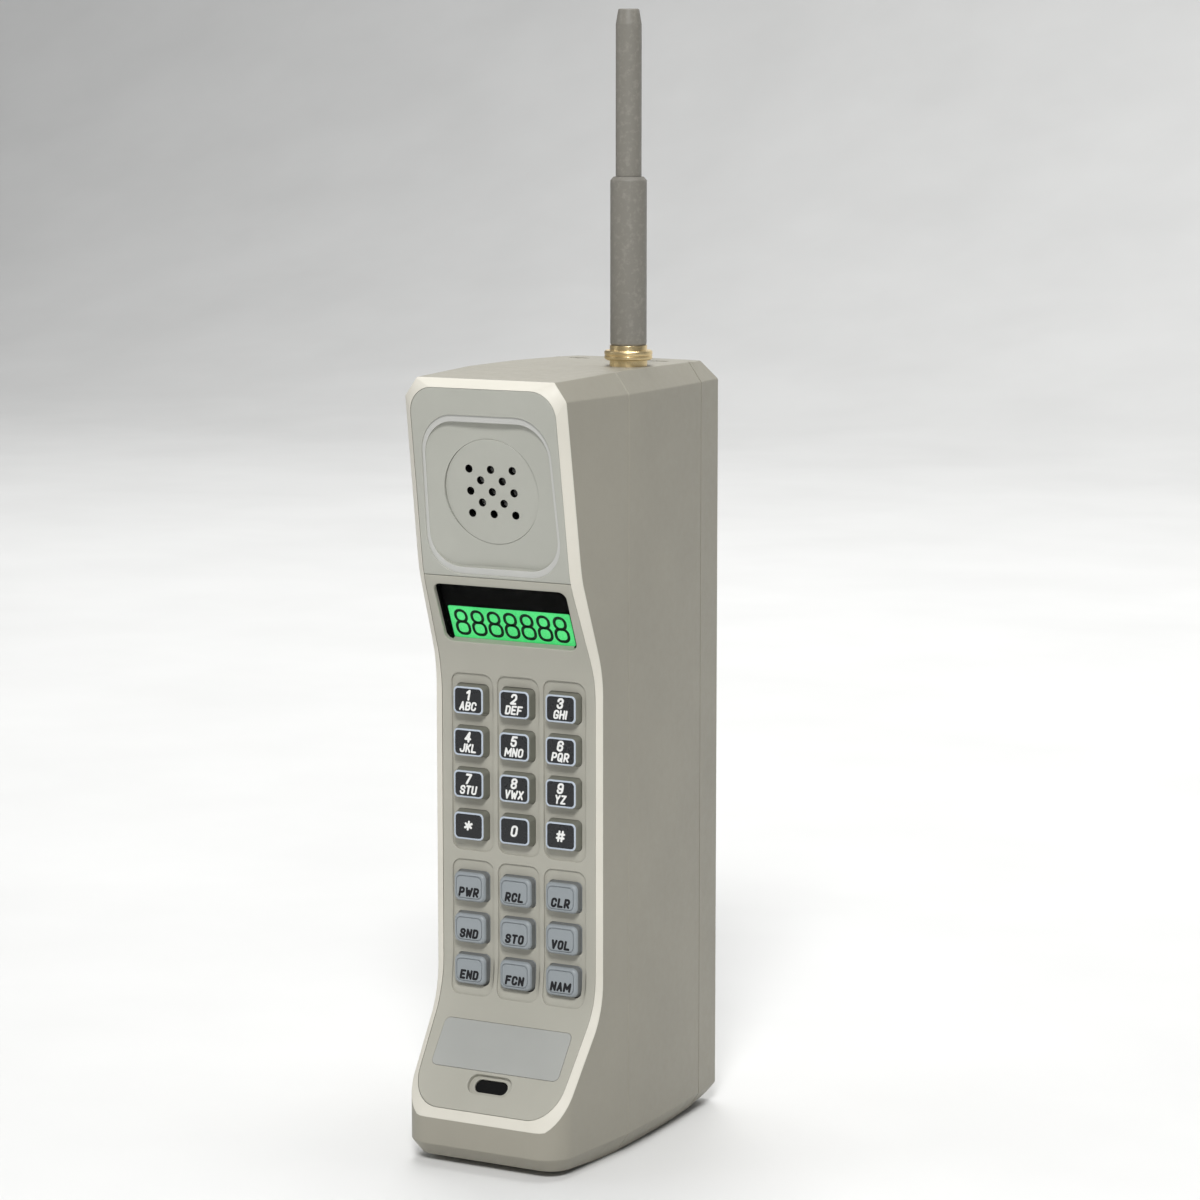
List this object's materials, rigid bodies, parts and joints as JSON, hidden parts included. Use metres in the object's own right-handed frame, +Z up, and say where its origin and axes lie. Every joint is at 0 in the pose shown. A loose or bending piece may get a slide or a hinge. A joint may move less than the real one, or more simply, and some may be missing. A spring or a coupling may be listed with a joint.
{
  "type": "early mobile brick phone",
  "caption": "Early hand-held brick mobile phone: dished earpiece, small green display, push keys, ramped chin, stub-and-whip antenna and a slide-on rear battery pack.",
  "frame": {"origin": "on the plane the phone stands on, at mid-width, in the plane where the front and rear shells meet", "axes": "+Z up along the antenna, the keypad faces -Y, +X to the right as seen from the keypad"},
  "size_m": [0.0488, 0.0875, 0.2814],
  "materials": {
    "shell_plastic": "fine moulded grain, warm beige grey",
    "panel_plastic": "fine moulded grain, lighter neutral grey",
    "earpiece_plastic": "smooth moulded, cool grey",
    "foam": "open foam",
    "receiver_metal": "satin",
    "window_clear": "clear and polished",
    "display_black": "black, low sheen",
    "display_green": "lit green, smooth",
    "plate_grey": "flat printed plate, blank",
    "microphone_black": "matte black",
    "mat_rubber": "matte silicone sheet",
    "circuit_board": "solder mask, slightly glossy",
    "screw_steel": "zinc plated",
    "tinned_steel": "dull tin plate",
    "spacer_aluminium": "turned",
    "filter_aluminium": "machined, silver plated",
    "antenna_brass": "turned brass, light wear",
    "core_steel": "drawn wire",
    "antenna_rubber": "satin rubber",
    "cell_jacket": "shrink sleeve",
    "contact_brass": "plated, bright",
    "number_key_plastic": "two-shot moulded cap, satin",
    "function_key_plastic": "moulded cap, satin"
  },
  "bodies": {
    "handset": {"front_housing": "shell_plastic", "rear_housing": "shell_plastic", "front_panel": "panel_plastic", "earpiece_panel": "earpiece_plastic", "earpiece_grille": "earpiece_plastic", "receiver_gasket": "foam", "receiver_capsule": "receiver_metal", "display_window": "window_clear", "display_module": "display_black", "display_glass": "display_green", "name_plate": "plate_grey", "microphone_grommet": "microphone_black", "microphone_capsule": "receiver_metal", "key_mat": "mat_rubber", "keypad_board": "circuit_board", "board_screws": "screw_steel", "logic_board": "circuit_board", "rf_board": "circuit_board", "shield_cans": "tinned_steel", "board_spacers": "spacer_aluminium", "duplexer_filter": "filter_aluminium", "housing_screws": "screw_steel", "antenna_socket": "antenna_brass", "phone_contacts": "contact_brass"},
    "antenna_base": {"antenna_collar": "antenna_brass"},
    "antenna_mast": {"antenna_core": "core_steel", "antenna_sleeve": "antenna_rubber", "antenna_whip": "antenna_rubber"},
    "battery_pack": {"battery_cover": "shell_plastic", "battery_tray": "shell_plastic", "battery_cells": "cell_jacket", "battery_links": "tinned_steel", "battery_pads": "contact_brass"},
    "key_1_body": {"key_1": "number_key_plastic"},
    "key_2_body": {"key_2": "number_key_plastic"},
    "key_3_body": {"key_3": "number_key_plastic"},
    "key_4_body": {"key_4": "number_key_plastic"},
    "key_5_body": {"key_5": "number_key_plastic"},
    "key_6_body": {"key_6": "number_key_plastic"},
    "key_7_body": {"key_7": "number_key_plastic"},
    "key_8_body": {"key_8": "number_key_plastic"},
    "key_9_body": {"key_9": "number_key_plastic"},
    "key_star_body": {"key_star": "number_key_plastic"},
    "key_0_body": {"key_0": "number_key_plastic"},
    "key_hash_body": {"key_hash": "number_key_plastic"},
    "key_power_body": {"key_power": "function_key_plastic"},
    "key_recall_body": {"key_recall": "function_key_plastic"},
    "key_clear_body": {"key_clear": "function_key_plastic"},
    "key_send_body": {"key_send": "function_key_plastic"},
    "key_store_body": {"key_store": "function_key_plastic"},
    "key_volume_body": {"key_volume": "function_key_plastic"},
    "key_end_body": {"key_end": "function_key_plastic"},
    "key_function_body": {"key_function": "function_key_plastic"},
    "key_names_body": {"key_names": "function_key_plastic"}
  },
  "joints": [
    {"name": "press_1", "type": "slide", "parent": "handset", "child": "key_1_body", "axis": [0, 1, 0], "range_m": [0, 0.0008], "stiffness_N_per_m": 900},
    {"name": "press_2", "type": "slide", "parent": "handset", "child": "key_2_body", "axis": [0, 1, 0], "range_m": [0, 0.0008], "stiffness_N_per_m": 900},
    {"name": "press_3", "type": "slide", "parent": "handset", "child": "key_3_body", "axis": [0, 1, 0], "range_m": [0, 0.0008], "stiffness_N_per_m": 900},
    {"name": "press_4", "type": "slide", "parent": "handset", "child": "key_4_body", "axis": [0, 1, 0], "range_m": [0, 0.0008], "stiffness_N_per_m": 900},
    {"name": "press_5", "type": "slide", "parent": "handset", "child": "key_5_body", "axis": [0, 1, 0], "range_m": [0, 0.0008], "stiffness_N_per_m": 900},
    {"name": "press_6", "type": "slide", "parent": "handset", "child": "key_6_body", "axis": [0, 1, 0], "range_m": [0, 0.0008], "stiffness_N_per_m": 900},
    {"name": "press_7", "type": "slide", "parent": "handset", "child": "key_7_body", "axis": [0, 1, 0], "range_m": [0, 0.0008], "stiffness_N_per_m": 900},
    {"name": "press_8", "type": "slide", "parent": "handset", "child": "key_8_body", "axis": [0, 1, 0], "range_m": [0, 0.0008], "stiffness_N_per_m": 900},
    {"name": "press_9", "type": "slide", "parent": "handset", "child": "key_9_body", "axis": [0, 1, 0], "range_m": [0, 0.0008], "stiffness_N_per_m": 900},
    {"name": "press_star", "type": "slide", "parent": "handset", "child": "key_star_body", "axis": [0, 1, 0], "range_m": [0, 0.0008], "stiffness_N_per_m": 900},
    {"name": "press_0", "type": "slide", "parent": "handset", "child": "key_0_body", "axis": [0, 1, 0], "range_m": [0, 0.0008], "stiffness_N_per_m": 900},
    {"name": "press_hash", "type": "slide", "parent": "handset", "child": "key_hash_body", "axis": [0, 1, 0], "range_m": [0, 0.0008], "stiffness_N_per_m": 900},
    {"name": "press_power", "type": "slide", "parent": "handset", "child": "key_power_body", "axis": [0, 1, 0], "range_m": [0, 0.0008], "stiffness_N_per_m": 900},
    {"name": "press_recall", "type": "slide", "parent": "handset", "child": "key_recall_body", "axis": [0, 1, 0], "range_m": [0, 0.0008], "stiffness_N_per_m": 900},
    {"name": "press_clear", "type": "slide", "parent": "handset", "child": "key_clear_body", "axis": [0, 1, 0], "range_m": [0, 0.0008], "stiffness_N_per_m": 900},
    {"name": "press_send", "type": "slide", "parent": "handset", "child": "key_send_body", "axis": [0, 1, 0], "range_m": [0, 0.0008], "stiffness_N_per_m": 900},
    {"name": "press_store", "type": "slide", "parent": "handset", "child": "key_store_body", "axis": [0, 1, 0], "range_m": [0, 0.0008], "stiffness_N_per_m": 900},
    {"name": "press_volume", "type": "slide", "parent": "handset", "child": "key_volume_body", "axis": [0, 1, 0], "range_m": [0, 0.0008], "stiffness_N_per_m": 900},
    {"name": "press_end", "type": "slide", "parent": "handset", "child": "key_end_body", "axis": [0, 1, 0], "range_m": [0, 0.0008], "stiffness_N_per_m": 900},
    {"name": "press_function", "type": "slide", "parent": "handset", "child": "key_function_body", "axis": [0, 1, 0], "range_m": [0, 0.0008], "stiffness_N_per_m": 900},
    {"name": "press_names", "type": "slide", "parent": "handset", "child": "key_names_body", "axis": [0, 1, 0], "range_m": [0, 0.0008], "stiffness_N_per_m": 900},
    {"name": "antenna_rise", "type": "slide", "parent": "handset", "child": "antenna_base", "axis": [0, 0, 1], "range_m": [0, 0.006]},
    {"name": "antenna_turn", "type": "hinge", "parent": "antenna_base", "child": "antenna_mast", "pos_m": [0.014, 0.019, 0.2], "axis": [0, 0, 1], "range_deg": [0, 2701]},
    {"name": "battery_slide", "type": "slide", "parent": "handset", "child": "battery_pack", "axis": [0, 0, 1], "range_m": [0, 0.19]}
  ],
  "couplings": [
    {"joint": "antenna_turn", "follows": "antenna_rise", "rad_per_m": 7854}
  ]
}
